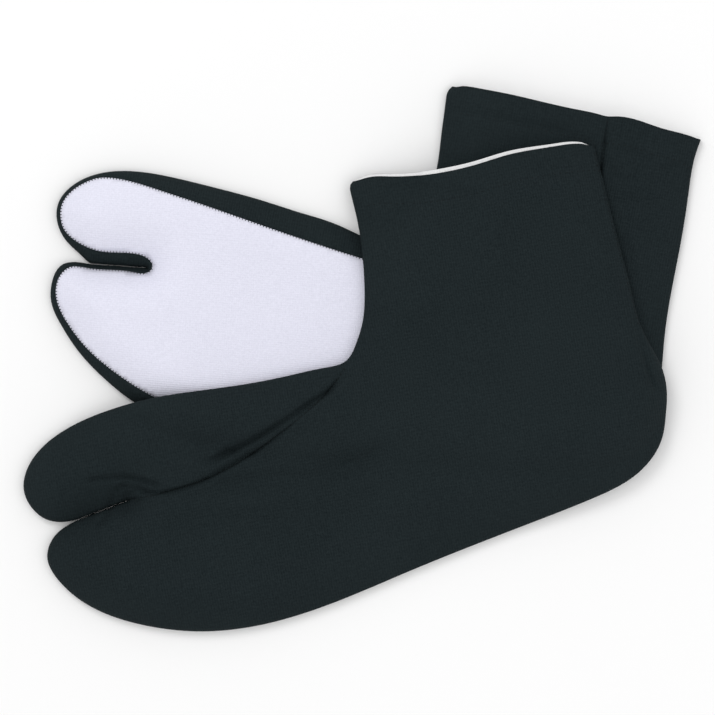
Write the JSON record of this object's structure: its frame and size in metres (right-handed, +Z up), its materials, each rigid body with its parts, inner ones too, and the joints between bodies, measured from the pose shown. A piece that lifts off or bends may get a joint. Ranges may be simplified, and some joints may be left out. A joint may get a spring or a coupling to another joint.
{
  "type": "pair of split-toe socks",
  "caption": "Pair of black split-toe stretch socks with white soles, lying flat, the left one on the right one.",
  "frame": {"origin": "middle of the pair's box, on the surface that the pair lies on", "axes": "+X from the toes towards the heels, +Y towards the cuffs, +Z up from the surface"},
  "size_m": [0.257, 0.2082, 0.0211],
  "materials": {
    "black_knit": "matt stretch knit",
    "sole_cloth": "matt woven cotton",
    "lining_cloth": "matt brushed cotton",
    "black_thread": "spun thread"
  },
  "bodies": {
    "right_sock": {"right_sole": "sole_cloth", "right_sole_lining": "lining_cloth", "right_inner_panel": "black_knit", "right_outer_panel": "black_knit", "right_inner_lining": "lining_cloth", "right_outer_lining": "lining_cloth", "right_sole_seam": "black_thread", "right_instep_seam": "black_thread", "right_back_seam": "black_thread", "right_cuff_stitching": "black_thread", "right_toe_tack": "black_thread"},
    "left_sock": {"left_sole": "sole_cloth", "left_sole_lining": "lining_cloth", "left_inner_panel": "black_knit", "left_outer_panel": "black_knit", "left_inner_lining": "lining_cloth", "left_outer_lining": "lining_cloth", "left_sole_seam": "black_thread", "left_instep_seam": "black_thread", "left_back_seam": "black_thread", "left_cuff_stitching": "black_thread", "left_toe_tack": "black_thread"}
  },
  "joints": [
    {"name": "left_sock_lift", "type": "slide", "parent": "right_sock", "child": "left_sock", "axis": [0, 0, 1], "range_m": [0, 0.15]}
  ]
}
